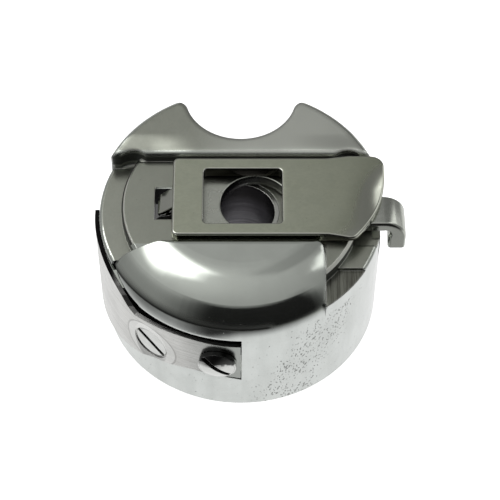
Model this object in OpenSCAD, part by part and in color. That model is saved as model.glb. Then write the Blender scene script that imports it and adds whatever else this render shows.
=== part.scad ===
// Bobbin case of a rotary hook sewing machine, latch closed, resting on its open rim with the face up.
// Millimetres. Z is the bobbin axis and z = 0 the open rim. X runs along the latch to its free end,
// and -Y is the front, where the leaf spring and its two screws are.

/* [Case] */
// Outside diameter of the case
case_d = 23; // [22.8:0.1:23.4]
// Wall thickness of the case
wall_t = 0.85; // [0.8:0.05:0.9]
// Depth of the bobbin chamber
chamber_h = 9.9; // [9.7:0.1:10.2]
// Thickness of the face plate under the slide
face_t = 1.1; // [1:0.05:1.2]
// Height of the outer ledge above the slide channel's floor
ledge_up = 0.2; // [0.1:0.05:0.3]
// Diameter of the raised disc at its foot
disc_d = 19.3; // [19.1:0.1:19.5]
// Height by which the latch stands over the two raised lands
land_down = 0.08; // [0.05:0.01:0.12]
// Rounding of the ledge's outer edge
ledge_edge = 0.3; // [0.2:0.05:0.35]
// Bevel round the open rim
rim_bevel = 0.15; // [0.1:0.05:0.2]

/* [Front land] */
// Rounding of the front land's outer side, next to the wall
dome_round = 3.1; // [3:0.05:3.2]
// Larger rounding that carries it on to the flat top
dome_crown = 6.5; // [6.3:0.1:6.7]
// Distance of the front land's back wall from the axis
dome_y = 4.11; // [4.05:0.01:4.2]
// Distance of the front land's right wall from the axis
dome_x = 6.69; // [6.4:0.05:6.9]
// Rounding of the front land's back and right top edges
dome_edge = 0.7; // [0.5:0.05:0.8]
// Depth of the milled flat to the right of the front land
mill_down = 0.3; // [0.2:0.05:0.4]

/* [Rear land and notch] */
// Distance of the rear land's front wall from the axis
rear_y = 4.37; // [4.3:0.01:4.45]
// Rounding of the rear land's top edges
rear_edge = 0.5; // [0.4:0.05:0.6]
// Diameter of the half-round notch
notch_d = 9.28; // [9:0.02:9.6]
// Distance of the notch's centre from the axis
notch_y = 10.62; // [10.5:0.02:10.8]
// Height of the notch's floor above the rim
notch_z = 4.6; // [4.2:0.1:5]
// Rounding of the notch's two horns
horn_r = 1; // [0.8:0.1:1.2]
// Radius of the cutter run-outs at the ends of the rear land
scallop_r = 1.49; // [1.4:0.01:1.55]

/* [Hub tube] */
// Bore of the hub tube, which the hook's stud enters
tube_bore_d = 5.54; // [5.4:0.02:5.6]
// Wall thickness of the hub tube
tube_wall = 0.38; // [0.34:0.02:0.44]

/* [Slide and finger] */
// Thickness of the slide
slide_t = 1.05; // [1:0.05:1.1]
// Width of the slide's upper part
slide_w = 6.2; // [6:0.1:6.3]
// Extra width of the slide's bottom flange on each side
flange_w = 0.4; // [0.3:0.05:0.45]
// Thickness of the slide's bottom flange
flange_t = 0.55; // [0.5:0.05:0.6]
// Diameter of the hole in the slide
slide_hole_d = 5.62; // [5.56:0.02:5.7]
// Offset of the slide's hole from the axis when locked
slide_hole_x = 1.17; // [1.1:0.01:1.19]
// Travel of the slide from locked to free
slide_travel = 1.2; // [1.1:0.05:1.2]
// Width of the bent finger
finger_w = 2.94; // [2.8:0.02:3.1]
// Sideways offset of the finger's middle
finger_y = -0.63; // [-0.7:0.01:-0.55]
// Outer bend radius of the finger
finger_bend = 1.9; // [1.8:0.05:2]
// Reach of the finger's outer face from the axis
finger_x = 13.4; // [13.3:0.02:13.5]
// Height of the finger's tip above the rim
finger_z = 8.9; // [8.8:0.05:9.1]

/* [Latch lever] */
// Thickness of the latch
lever_t = 0.98; // [0.96:0.01:1.04]
// Width of the latch
lever_w = 7.8; // [7.6:0.05:7.85]
// Extra width of the flared free end on each side
flare_w = 0.26; // [0.15:0.01:0.3]
// Radius of the slanted end arc
end_r = 9.93; // [9.8:0.01:10]
// Length of the window
window_l = 6.34; // [6.2:0.02:6.5]
// Width of the window
window_w = 5.54; // [5.4:0.02:5.7]
// Corner rounding of the window
window_r = 0.35; // [0.3:0.05:0.5]
// Half width of the tongue at the latch's left end
tongue_half = 1; // [0.95:0.01:1.02]

/* [Hinge pin, stop pin and coil spring] */
// Distance of the hinge pin's axis from the bobbin axis
hinge_x = 5.18; // [5.15:0.01:5.2]
// Diameter of the hinge pin
hinge_d = 0.5; // [0.48:0.01:0.52]
// Diameter of the stop pin
stop_d = 0.9; // [0.85:0.01:0.92]
// Distance of the stop pin from the axis
stop_x = 5.3; // [5.25:0.01:5.35]
// Wire of the coil spring
wire_d = 0.18; // [0.16:0.01:0.2]
// Turns of the coil spring
coil_turns = 3; // [2:1:3]

/* [Leaf spring and screws] */
// Thickness of the leaf spring
leaf_t = 0.34; // [0.3:0.01:0.36]
// Diameter of both screw heads
head_d = 3.06; // [2.9:0.02:3.1]
// Angle of the fixing screw from the front, towards the left
fix_a = 7.2; // [7:0.1:7.6]
// Height of the fixing screw above the rim
fix_z = 6.2; // [6:0.05:6.4]
// Angle of the tension screw from the front, towards the left
tens_a = 37.3; // [37:0.1:38]
// Height of the tension screw above the rim
tens_z = 5.37; // [5.3:0.01:5.5]
// Diameter of both screws' threads
thread_d = 1.6; // [1.5:0.02:1.66]

/* [Hidden] */
$fn = 96;
far = 30;

// Clearances
run = 0.05;
fit = 0.03;
pivot_fit = 0.02;

// Case radii and levels, bottom to top
case_r = case_d / 2;
chamber_r = case_r - wall_t;
disc_r = disc_d / 2;
disc_bevel = 0.24;
floor_z = chamber_h + face_t;
ledge_z = floor_z + ledge_up;
slide_z = floor_z + run;
slide_top = slide_z + slide_t;
disc_z = slide_top + run;
lever_z = disc_z + run;
lever_top = lever_z + lever_t;
land_z = lever_top - land_down;
tube_r = tube_bore_d / 2 + tube_wall;

// Front land: the two roundings of its outer side meet where the surface has the elevation dome_meet.
// Its back wall turns aside at the left, along a line square to dome_turn, at dome_left from the axis.
dome_meet = 58;
dome_turn = 100.6;
dome_left = -3.12;
dome_in = case_r - dome_round;
dome_z = land_z - dome_crown + (dome_crown - dome_round) * sin(dome_meet);
crown_in = dome_in - (dome_crown - dome_round) * cos(dome_meet);
sector_down = 0.5;
mill_y = 5.79;

// Rear land: horn fillets lie against both the wall and the notch
notch_r = notch_d / 2;
horn_in = case_r - horn_r;
horn_out = notch_r + horn_r;
horn_y = (horn_in * horn_in - horn_out * horn_out + notch_y * notch_y) / (2 * notch_y);
horn_x = sqrt(horn_in * horn_in - horn_y * horn_y);
scallop_x = 8.81;
scallop_y = 3.31;

// Slide, its channel and the finger's wall slot
slide_half = slide_w / 2;
slide_left = -4.2;
slide_right = 8.8;
flange_half = slide_half + flange_w;
spring_slot_l = stop_x - stop_d / 2 - 2 * run;
spring_slot_r = 8.3;
spring_slot_w = stop_d + 4 * run;
channel_left = slide_left - slide_travel - 2 * run;
finger_leg = 1.43;
finger_bend_x = finger_x - finger_bend;
finger_bend_z = slide_top - finger_bend;
finger_lo = finger_y - finger_w / 2;
finger_hi = finger_y + finger_w / 2;
finger_tip_r = 0.35;
finger_bevel = 0.45;
finger_leg_x = finger_x - finger_leg;
wall_slot_gap = 0.58;
wall_slot_back = 0.15;
wall_slot_under = 0.4;
wall_slot_x = finger_leg_x - slide_travel - wall_slot_back;
wall_slot_z = finger_z - wall_slot_under;

// Latch hinge, its ears on the slide and the tongue's hole in the disc
hinge_up = 0.3;
hinge_z = lever_z + hinge_up;
ear_r = 0.4;
ear_gap = 0.08;
ear_in = tongue_half + ear_gap;
ear_out = 1.55;
ear_neck = 0.2;
arm_reach = 0.4;
arm_t = 0.85;
knuckle_r = 0.55;
heel = 0.32;
lever_left = -hinge_x - heel;
tongue_x = -6.72;
tongue_nose = 0.12;
tongue_foot = -6.2;
tongue_down = 0.53;
tongue_edge = 0.2;
hole_left = -6.97;
hole_half = 1.64;
hole_stop = -5.6;

// Latch outline: a bar with a flared end that a slanted arc cuts off
lever_half = lever_w / 2;
flare_half = lever_half + flare_w;
flare_from = 7;
flare_to = 8.8;
end_x = 1.76;
end_y = 2.65;
corner_r = 1;
heel_r = 0.45;
corner_out = end_r - corner_r;
corner_y = flare_half - corner_r;
corner_x = end_x + sqrt(corner_out * corner_out - (corner_y - end_y) * (corner_y - end_y));
window_x = 0.17;

// Coil spring, between the stop pin and the end of the slide's slot
coil_from = stop_x + stop_d / 2 + run;
coil_to = spring_slot_r - run;
coil_r = stop_d / 2 - wire_d / 2 - run;
coil_z = slide_z + slide_t / 2;
coil_pitch = (coil_to - coil_from - wire_d) / coil_turns;
coil_sides = 6;
coil_rings = 12;
coil_count = coil_rings * coil_turns;

// Leaf spring: a ring of the case's own radius, set over to the left so that it stands proud there
leaf_x = -0.4;
leaf_out = case_r - fit;
leaf_in = leaf_out - leaf_t;
leaf_seat = leaf_in - fit;
leaf_start = -2;
leaf_side_gap = 0.3;
leaf_end = 92;
recess_end = 105;
leaf_joint = 45;
leaf_gap = 0.12;
groove_t = 0.55;
groove_r = case_r - groove_t;
groove_under = 0.2;
groove_end = 98;
slit_a = 84;
slit_w = 0.5;
slit_h = 6;
head_h = 0.42;
head_rise = 0.3;
head_cone = 0.5;
dish_r = 2.6;
dish_h = 0.2;
head_gap = 0.1;
dish_ball = (dish_r * dish_r + dish_h * dish_h) / (2 * dish_h);
driver_w = 0.42;
driver_h = 0.36;
fix_slot_a = -42;
tens_slot_a = -33;
thread_short = 0.1;
thread_end = chamber_r + thread_short;

// Edges of the leaf: the lower one has a hump over the screws, the upper one climbs at the left
leaf_foot = 1.5;
hump_h = 2.9;
hump_a = 14;
hump_w = 35;
leaf_down = 1.13;
leaf_head = dome_z - leaf_down;
crest_h = 0.38;
crest_a = 20;
crest_w = 15;
dip_h = 0.3;
dip_a = 46;
dip_w = 6;
climb_h = 2.4;
climb_a = 48;
climb_w = 27;
groove_down = 0.18;
groove_lip = 0.05;
groove_head = dome_z - groove_down;
groove_climb_h = ledge_z - ledge_edge - groove_lip - groove_head;
groove_climb_a = 40;
groove_climb_w = 25;

// A round hump of height h and half width w about an angle, and the share of a climb done by an angle
function swell(a, h, at, w) = h * exp(-pow((a - at) / w, 2));
function share(a, from, w) = min(1, max(0, (a - from) / w));
// Height of the leaf's lower edge at an angle from the front
function leaf_low(a) = leaf_foot + swell(a, hump_h, hump_a, hump_w);
// Height of the leaf's upper edge
function leaf_high(a) = leaf_head + swell(a, crest_h, crest_a, crest_w) - swell(a, dip_h, dip_a, dip_w)
    + climb_h * pow(share(a, climb_a, climb_w), 0.6);
// Height of the sharp edge over the leaf's groove
function groove_high(a) = groove_head + groove_climb_h * pow(share(a, groove_climb_a, groove_climb_w), 1.5);

// Angles from a to b in about four-degree steps
function steps(a, b) = let (n = ceil((b - a) / 4)) [for (i = [0 : n]) a + (b - a) * i / n];
function reversed(v) = [for (i = [len(v) - 1 : -1 : 0]) v[i]];

// A box between two opposite corners
module block(lo, hi) {
    translate(lo)
        cube(hi - lo);
}

// A flat shape drawn in X and Z, made into a slab between two Y values
module slab_y(y0, y1) {
    translate([0, y1, 0])
        rotate([90, 0, 0])
            linear_extrude(y1 - y0)
                children();
}

// A strip of the wall between two height curves, from angle a0 round to a1, drawn as two straight
// cuts that meet at the joint angle. which picks the pair of curves.
module wall_strip(a0, a1, low_by, which) {
    front = steps(a0, leaf_joint);
    side = steps(leaf_joint, a1);
    slab_y(-far / 2, 1 - leaf_out * cos(leaf_joint))
        polygon(concat(
            [for (a = front) [leaf_x - leaf_out * sin(a), strip_low(a, low_by, which)]],
            [for (a = reversed(front)) [leaf_x - leaf_out * sin(a), strip_high(a, which)]]));
    translate([leaf_x + 1 - leaf_out * sin(leaf_joint), 0, 0])
        rotate([90, 0, -90])
            linear_extrude(far / 2)
                polygon(concat(
                    [for (a = side) [leaf_out * cos(a), strip_low(a, low_by, which)]],
                    [for (a = reversed(side)) [leaf_out * cos(a), strip_high(a, which)]]));
}

function strip_low(a, by, which) = which == "groove" ? leaf_high(a) - by : leaf_low(a) - by;
function strip_high(a, which) = which == "leaf" ? leaf_high(a) : groove_high(a);

// Moves a shape drawn along Z so that Z points out of the wall at an angle from the front
module on_leaf(a, z) {
    translate([leaf_x, 0, z])
        rotate([90, 0, -a])
            children();
}

// What is turned off the wall and the front land to round them over
module round_over() {
    intersection() {
        rotate_extrude()
            difference() {
                translate([crown_in, dome_z])
                    square(far);
                translate([dome_in, dome_z])
                    circle(dome_round);
                crown_profile();
            }
        front_sector();
    }
}

// The larger rounding's share of the front land's profile, up to the line on which the two meet
module crown_profile() {
    intersection() {
        translate([crown_in, land_z - dome_crown])
            circle(dome_crown);
        polygon([[dome_in, dome_z], [dome_in + far * cos(dome_meet), dome_z + far * sin(dome_meet)],
            [0, dome_z + far], [0, dome_z]]);
    }
}

// The half plane on the near side of a line that lies at a distance from the axis
module dome_side(at) {
    rotate(dome_turn)
        translate([at - far, -far])
            square([far, 2 * far]);
}

// A corner with three rounded edges: everything below, in front and to the left of it
module rounded_corner() {
    x = dome_x - dome_edge;
    y = -dome_y - dome_edge;
    z = land_z - dome_edge;
    block([-far, -far, 0], [x, y, land_z]);
    block([-far, -far, 0], [dome_x, y, z]);
    block([-far, -far, 0], [x, -dome_y, z]);
    translate([x, y, 0])
        cylinder(r = dome_edge, h = z);
    translate([x, y, z])
        rotate([0, -90, 0])
            cylinder(r = dome_edge, h = far);
    translate([x, y, z])
        rotate([90, 0, 0])
            cylinder(r = dome_edge, h = far);
    translate([x, y, z])
        sphere(dome_edge);
}

// The wedge that holds the front land, from its left line to its back and right walls
module front_sector() {
    translate([0, 0, dome_z - sector_down])
        linear_extrude(far)
            intersection() {
                dome_side(dome_left);
                translate([dome_x - 2 * far, -dome_y - 2 * far])
                    square(2 * far);
            }
}

// The front land before its outer side is rounded over
module front_land() {
    intersection() {
        cylinder(r = case_r, h = far);
        rounded_corner();
        front_sector();
    }
}

// The rear land, with rounded top edges and the two cutter run-outs
module rear_land() {
    top = land_z - rear_edge;
    intersection() {
        union() {
            cylinder(r = case_r, h = top);
            cylinder(r = case_r - rear_edge, h = land_z);
            translate([0, 0, top])
                rotate_extrude()
                    translate([case_r - rear_edge, 0])
                        circle(rear_edge);
        }
        difference() {
            union() {
                block([-far, rear_y, dome_z], [far, far, top]);
                block([-far, rear_y + rear_edge, dome_z], [far, far, land_z]);
                translate([-far, rear_y + rear_edge, top])
                    rotate([0, 90, 0])
                        cylinder(r = rear_edge, h = 2 * far);
            }
            for (s = [-1, 1])
                translate([s * scallop_x, scallop_y, ledge_z])
                    cylinder(r = scallop_r, h = far);
        }
    }
}

// The half-round notch with its rounded horns
module notch() {
    tip = [horn_x, horn_y] * (case_r + 1) / horn_in;
    inner = [horn_x, horn_y - notch_y] * (notch_r - 0.5) / horn_out + [0, notch_y];
    translate([0, 0, notch_z])
        linear_extrude(far) {
            translate([0, notch_y])
                circle(notch_r);
            for (s = [0, 1])
                mirror([s, 0])
                    difference() {
                        polygon([[horn_x, horn_y], tip, [horn_x / 2, case_r + 1], inner]);
                        translate([horn_x, horn_y])
                            circle(horn_r);
                    }
        }
}

// The slide's channel, undercut for its flange, and the tongue's hole at the end of it
module channel() {
    block([channel_left, -slide_half - run, floor_z], [far, slide_half + run, far]);
    block([channel_left, -flange_half - run, floor_z], [far, flange_half + run, slide_z + flange_t + run]);
    block([hole_left, -hole_half, floor_z], [0, hole_half, far]);
    block([hole_left, -hole_half, 0], [hole_stop, hole_half, far]);
}

module case_body() {
    color("lightslategray")
        difference() {
            union() {
                cylinder(r1 = case_r - rim_bevel, r2 = case_r, h = rim_bevel);
                translate([0, 0, rim_bevel])
                    cylinder(r = case_r, h = ledge_z - ledge_edge - rim_bevel);
                cylinder(r = case_r - ledge_edge, h = ledge_z);
                translate([0, 0, ledge_z - ledge_edge])
                    rotate_extrude()
                        translate([case_r - ledge_edge, 0])
                            circle(ledge_edge);
                cylinder(r = disc_r, h = disc_z - disc_bevel);
                translate([0, 0, disc_z - disc_bevel])
                    cylinder(r1 = disc_r, r2 = disc_r - disc_bevel, h = disc_bevel);
                front_land();
                rear_land();
            }
            round_over();
            translate([0, 0, -1])
                cylinder(r = chamber_r, h = chamber_h + 1);
            cylinder(r1 = chamber_r + rim_bevel, r2 = chamber_r, h = rim_bevel);
            cylinder(r = tube_r, h = far);
            translate([stop_x, 0, 0])
                cylinder(r = stop_d / 2, h = far);
            channel();
            notch();
            block([wall_slot_x, finger_lo - wall_slot_gap, wall_slot_z],
                [far, finger_hi + wall_slot_gap, far]);
            difference() {
                block([dome_x, -far, ledge_z - mill_down], [far, -mill_y, far]);
                cylinder(r = disc_r, h = far);
            }
            difference() {
                wall_strip(leaf_start - leaf_side_gap, recess_end, leaf_gap, "recess");
                translate([leaf_x, 0, -1])
                    cylinder(r = leaf_seat, h = far);
            }
            difference() {
                wall_strip(leaf_start - leaf_side_gap, groove_end, groove_under, "groove");
                translate([0, 0, -1])
                    cylinder(r = groove_r, h = far);
            }
            rotate(-slit_a)
                block([-slit_w / 2, -far, -1], [slit_w / 2, -chamber_r + 1, slit_h]);
            on_leaf(fix_a, fix_z)
                cylinder(r = thread_d / 2, h = far);
            on_leaf(tens_a, tens_z) {
                cylinder(r = thread_d / 2 + fit, h = far);
                tension_seat();
            }
        }
}

module center_tube() {
    color("gray")
        difference() {
            cylinder(r = tube_r, h = floor_z);
            translate([0, 0, -1])
                cylinder(r = tube_bore_d / 2, h = floor_z + 2);
        }
}

// The finger's side view: the plate's end, a bend and a thicker leg with a rounded tip
module finger_side() {
    translate([slide_right - 1, slide_z])
        square([finger_bend_x - slide_right + 1, slide_t]);
    intersection() {
        difference() {
            translate([finger_bend_x, finger_bend_z])
                circle(finger_bend);
            translate([finger_bend_x, finger_bend_z])
                circle(finger_bend - slide_t);
        }
        translate([finger_bend_x, finger_bend_z])
            square(finger_bend);
    }
    translate([finger_leg_x, finger_z + finger_tip_r])
        square([finger_leg, finger_bend_z - finger_z - finger_tip_r]);
    translate([finger_leg_x + finger_tip_r, finger_z])
        square([finger_leg - 2 * finger_tip_r, finger_tip_r * 2]);
    for (x = [finger_leg_x + finger_tip_r, finger_x - finger_tip_r])
        translate([x, finger_z + finger_tip_r])
            circle(finger_tip_r);
}

// The finger, with a bevel down the near inner edge of its leg
module finger() {
    near = finger_lo + 2 * finger_bevel;
    difference() {
        slab_y(finger_lo, finger_hi)
            finger_side();
        linear_extrude(finger_bend_z)
            polygon([[0, finger_lo - 1], [finger_leg_x + finger_bevel, finger_lo - 1],
                [finger_leg_x + finger_bevel, finger_lo], [finger_leg_x, near], [0, near]]);
    }
}

// One arm of the slide with the ear that carries the hinge pin
module ear() {
    difference() {
        slab_y(ear_in, ear_out) {
            translate([-hinge_x, hinge_z])
                circle(ear_r);
            polygon([[-hinge_x - ear_neck, hinge_z], [-hinge_x - ear_neck, slide_top],
                [slide_left - arm_reach, slide_top - arm_t], [slide_left + arm_reach, slide_top - arm_t],
                [slide_left + arm_reach, slide_top], [-hinge_x + ear_neck, slide_top],
                [-hinge_x + ear_neck, hinge_z]]);
        }
        hinge_bore(hinge_d / 2);
    }
}

// A cylinder along the hinge axis, long enough to cut through
module hinge_bore(r) {
    translate([-hinge_x, far / 2, hinge_z])
        rotate([90, 0, 0])
            cylinder(r = r, h = far);
}

module latch_slide() {
    color("darkgray")
        difference() {
            union() {
                block([slide_left, -slide_half, slide_z], [slide_right, slide_half, slide_top]);
                block([slide_left, -flange_half, slide_z], [slide_right, flange_half, slide_z + flange_t]);
                finger();
                ear();
                mirror([0, 1, 0])
                    ear();
            }
            translate([slide_hole_x, 0, 0])
                cylinder(r = slide_hole_d / 2, h = far);
            block([spring_slot_l, -spring_slot_w / 2, 0], [spring_slot_r, spring_slot_w / 2, far]);
        }
}

// The latch seen from above
module lever_outline() {
    difference() {
        intersection() {
            union() {
                translate([lever_left, -lever_half])
                    square([flare_to - lever_left, lever_w]);
                polygon([[flare_from, -lever_half], [flare_to, -flare_half], [far, -flare_half],
                    [far, flare_half], [flare_to, flare_half], [flare_from, lever_half]]);
            }
            union() {
                translate([end_x, end_y])
                    circle(end_r);
                translate([lever_left, -far])
                    square([flare_to - lever_left - 2, 2 * far]);
            }
        }
        difference() {
            translate([corner_x, corner_y])
                square(2 * corner_r);
            translate([corner_x, corner_y])
                circle(corner_r);
        }
        for (s = [0, 1])
            mirror([0, s])
                difference() {
                    translate([lever_left - heel_r, lever_half - heel_r])
                        square(2 * heel_r);
                    translate([lever_left + heel_r, lever_half - heel_r])
                        circle(heel_r);
                    translate([lever_left + heel_r, lever_half - heel_r])
                        square(2 * heel_r);
                }
        translate([window_x - window_l / 2, -window_w / 2])
            window();
    }
}

// The window, with round corners
module window() {
    translate([window_r, 0])
        square([window_l - 2 * window_r, window_w]);
    translate([0, window_r])
        square([window_l, window_w - 2 * window_r]);
    for (x = [window_r, window_l - window_r])
        for (y = [window_r, window_w - window_r])
            translate([x, y])
                circle(window_r);
}

// The tongue and the knuckle round the hinge pin, seen from the side
module tongue_side() {
    translate([-hinge_x, hinge_z])
        circle(knuckle_r);
    polygon([[-hinge_x, lever_top - tongue_edge], [lever_left, lever_top - tongue_edge],
        [tongue_x, disc_z - tongue_edge], [tongue_x + tongue_nose, disc_z - tongue_down],
        [tongue_foot, disc_z - tongue_down], [-hinge_x, hinge_z - knuckle_r]]);
}

module latch_lever() {
    color("silver")
        difference() {
            union() {
                difference() {
                    translate([0, 0, lever_z])
                        linear_extrude(lever_t)
                            lever_outline();
                    block([-far, -far, 0], [-hinge_x, far, hinge_z]);
                }
                intersection() {
                    hinge_bore(hinge_up);
                    block([-far, -lever_half, 0], [far, lever_half, far]);
                }
                slab_y(-tongue_half, tongue_half)
                    tongue_side();
            }
            for (s = [0, 1])
                mirror([0, s, 0])
                    block([-far, ear_in - run, 0],
                        [-hinge_x + ear_r + run, ear_out + run, hinge_z + ear_r + run]);
            hinge_bore(hinge_d / 2 + pivot_fit);
        }
}

module hinge_pin() {
    color("dimgray")
        intersection() {
            hinge_bore(hinge_d / 2);
            block([-far, -ear_out, 0], [far, ear_out, far]);
        }
}

module stop_pin() {
    color("dimgray")
        translate([stop_x, 0, chamber_h])
            cylinder(r = stop_d / 2, h = slide_top - run - chamber_h);
}

// Point on the wire's surface: ring i along the helix, corner k round the wire
function coil_point(i, k) =
    let (t = 360 * i / coil_rings, u = 360 * k / coil_sides, r = coil_r + wire_d / 2 * cos(u))
    [coil_from + wire_d / 2 * (1 + sin(u)) + coil_pitch * i / coil_rings, r * cos(t), coil_z + r * sin(t)];

// One unbroken tube along a helix
module slide_spring() {
    echo(least_coil_gap = coil_pitch - wire_d);
    points = [for (i = [0 : coil_count]) for (k = [0 : coil_sides - 1]) coil_point(i, k)];
    sides = [for (i = [0 : coil_count - 1]) for (k = [0 : coil_sides - 1])
        let (n = (k + 1) % coil_sides, b = i * coil_sides)
        [b + k, b + n, b + coil_sides + n, b + coil_sides + k]];
    ends = [[for (k = [coil_sides - 1 : -1 : 0]) k],
        [for (k = [0 : coil_sides - 1]) coil_count * coil_sides + k]];
    color("gainsboro")
        polyhedron(points, concat(sides, ends));
}

// The cone that the tension screw's head sits in
module tension_seat() {
    translate([0, 0, leaf_out - dish_h - head_cone])
        cylinder(r1 = thread_d / 2 + fit, r2 = head_d / 2 + head_gap, h = head_cone);
    translate([0, 0, leaf_out - dish_h])
        cylinder(r = head_d / 2 + head_gap, h = far);
}

module tension_spring() {
    color("silver")
        difference() {
            intersection() {
                translate([leaf_x, 0, 0])
                    difference() {
                        cylinder(r = leaf_out, h = far);
                        translate([0, 0, -1])
                            cylinder(r = leaf_in, h = far + 2);
                    }
                wall_strip(leaf_start, leaf_end, 0, "leaf");
            }
            on_leaf(fix_a, fix_z)
                cylinder(r = thread_d / 2 + fit, h = far);
            on_leaf(tens_a, tens_z) {
                cylinder(r = thread_d / 2 + fit, h = far);
                tension_seat();
                translate([0, 0, leaf_out - dish_h + dish_ball])
                    sphere(dish_ball);
            }
        }
}

// The straight slot across a screw's head
module driver_slot(top, a) {
    rotate(a)
        block([-far, -driver_w / 2, top - driver_h], [far, driver_w / 2, far]);
}

module tension_screw() {
    top = leaf_out - dish_h;
    color("lightgray")
        on_leaf(tens_a, tens_z)
            difference() {
                union() {
                    translate([0, 0, thread_end])
                        cylinder(r = thread_d / 2, h = top - thread_end);
                    translate([0, 0, top - head_cone])
                        cylinder(r1 = thread_d / 2, r2 = head_d / 2, h = head_cone);
                }
                driver_slot(top, tens_slot_a);
            }
}

module fixing_screw() {
    base = leaf_out + fit;
    top = base + head_h + head_rise;
    ball = (pow(head_d / 2, 2) + head_rise * head_rise) / (2 * head_rise);
    color("lightgray")
        on_leaf(fix_a, fix_z)
            difference() {
                union() {
                    translate([0, 0, thread_end])
                        cylinder(r = thread_d / 2, h = base - thread_end);
                    intersection() {
                        translate([0, 0, base])
                            cylinder(r = head_d / 2, h = head_h + head_rise);
                        translate([0, 0, top - ball])
                            sphere(ball);
                    }
                }
                driver_slot(top, fix_slot_a);
            }
}

case_body();
center_tube();
latch_slide();
latch_lever();
hinge_pin();
slide_spring();
stop_pin();
tension_spring();
tension_screw();
fixing_screw();
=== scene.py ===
import math

import bpy
import numpy as np
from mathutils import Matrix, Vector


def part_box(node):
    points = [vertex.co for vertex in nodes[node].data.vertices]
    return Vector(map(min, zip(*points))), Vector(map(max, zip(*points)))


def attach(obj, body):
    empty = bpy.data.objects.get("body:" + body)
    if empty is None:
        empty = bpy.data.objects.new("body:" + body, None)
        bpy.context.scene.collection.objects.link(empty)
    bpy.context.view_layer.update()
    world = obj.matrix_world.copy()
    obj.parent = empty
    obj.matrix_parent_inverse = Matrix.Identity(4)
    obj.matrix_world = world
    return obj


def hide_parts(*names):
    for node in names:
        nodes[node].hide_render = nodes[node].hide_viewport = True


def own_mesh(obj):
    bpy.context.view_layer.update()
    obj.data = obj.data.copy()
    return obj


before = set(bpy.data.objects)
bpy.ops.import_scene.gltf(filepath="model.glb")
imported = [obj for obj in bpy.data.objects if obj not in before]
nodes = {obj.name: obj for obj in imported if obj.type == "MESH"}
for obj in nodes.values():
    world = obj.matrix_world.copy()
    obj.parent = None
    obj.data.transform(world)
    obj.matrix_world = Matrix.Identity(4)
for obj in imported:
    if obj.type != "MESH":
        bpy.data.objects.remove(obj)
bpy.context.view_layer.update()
scene = bpy.context.scene
scene.view_settings.view_transform = "Standard"

# Lengths below are in millimetres, and MM carries them to metres
MM = 0.001

# Case: radii, heights, and where its raised lands begin
CASE_R = 11.5
CHAMBER_R = 10.65
DISC_R = 9.65
DISC_Z = 12.15
LEDGE_Z = 11.2
DOME_X = 6.69
DOME_Y = -4.11
REAR_LAND_Y = 4.25

# Latch lever: its free end flares, ends in a slanted arc and rolls down towards it
LEVER_TOP = 13.18
LEVER_UNDER = 12.20
LEVER_LEFT = -5.5
LEVER_HALF = 3.9
LEVER_HEEL_R = 0.45
FLARE_FROM = 7.0
FLARE_TO = 8.8
FLARE_HALF = 4.16
FLARE_R = 2.0
NEAR_CORNER = (8.95, -4.16)
NEAR_CORNER_R = 0.8
END_MIDDLE = (1.76, 2.65)
END_R = 9.93
FAR_CORNER = (11.3, 3.9)
FAR_CORNER_R = 1.0
WINDOW = (-3.0, 3.34, 2.77)
WINDOW_R = 0.35
LEVER_EDGE = 0.17
WINDOW_EDGE = 0.10
UNDER_EDGE = 0.06
ROLL_LENGTH = 3.0
ROLL_DROP = 0.56
ROLL_POWER = 2.6
ROLL_NEAR = 0.45
ROLL_FAR = 0.2
NEAR_RISE = 0.35
HINGE = (-5.18, 12.5)
KNUCKLE_R = 0.55
TONGUE_HALF = 1.0
TONGUE_EDGE = 0.14
TONGUE_TOP = 12.98
TONGUE_LOW = 11.62
HEEL_RISE = 0.3
EAR_RISE = 0.75

# Latch slide: plate, coil slot, ears and bent finger
SLIDE_TOP = 12.10
SLIDE_UNDER = 11.05
SLIDE_LEFT = -4.2
SLIDE_RIGHT = 8.8
SLIDE_MEET = 4.36
SLIDE_HALF = 3.1
SLIDE_FLANGE_TOP = 11.60
SLIDE_FLANGE_HALF = 3.5
SLIDE_HOLE_X = 1.17
SLIDE_HOLE_R = 2.81
SLIDE_EDGE = 0.10
COIL_SLOT = (4.75, 8.3, 0.55)
COIL_SLOT_R = 0.1
EAR_R = 0.4
EAR_IN = 1.08
EAR_OUT = 1.55
EAR_EDGE = 0.05
EAR_FOOT_X = (-4.6, -3.8)
EAR_FOOT_Z = 11.25
FINGER_X = 13.4
FINGER_BEND = 1.9
FINGER_SWELL = 0.38
FINGER_EASE = 0.06
FINGER_TIP_Z = 8.75
FINGER_Y = -0.63
FINGER_HALF = 1.47
FINGER_ROUND = 0.28

# Screws (angle of the axis from the front towards the left, height), whose axes meet at X = LEAF_X, and the
# radii of the painted sheen and the painted shade line that show the dish round the tension screw
LEAF_X = -0.4
TENSION_SCREW = (37.3, 5.37)
FIXING_SCREW = (7.2, 6.2)
TENSION_SLOT_FLOOR = 10.91
FIXING_SLOT_FLOOR = 11.86
SLOT_REACH = 1.40
DISH = (1.62, 2.40)
DISH_LINE = (2.42, 2.50)

# Coil spring
COIL_WIRE = 0.18
COIL_TURNS = 3

# Corners: how far in a rounded corner's middle lies as a share of its radius, and the half angle between
# two sides, in radians, above which their corner needs no rounding
CORNER_IN = 0.3
NEARLY_STRAIGHT = 1.55

# How finely the surfaces are divided
EDGE_STEPS = 6
WALL_STEPS = 4
TOP_STEPS = 40
TOP_CROWDING = 1.5
UNDER_STEPS = 26
COIL_STEPS = 40
WIRE_STEPS = 14

# Floor: how far from the axis the painted shadow under the case ends
CLEAR_FROM = 10.7
CLEAR_TO = 11.4

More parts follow.
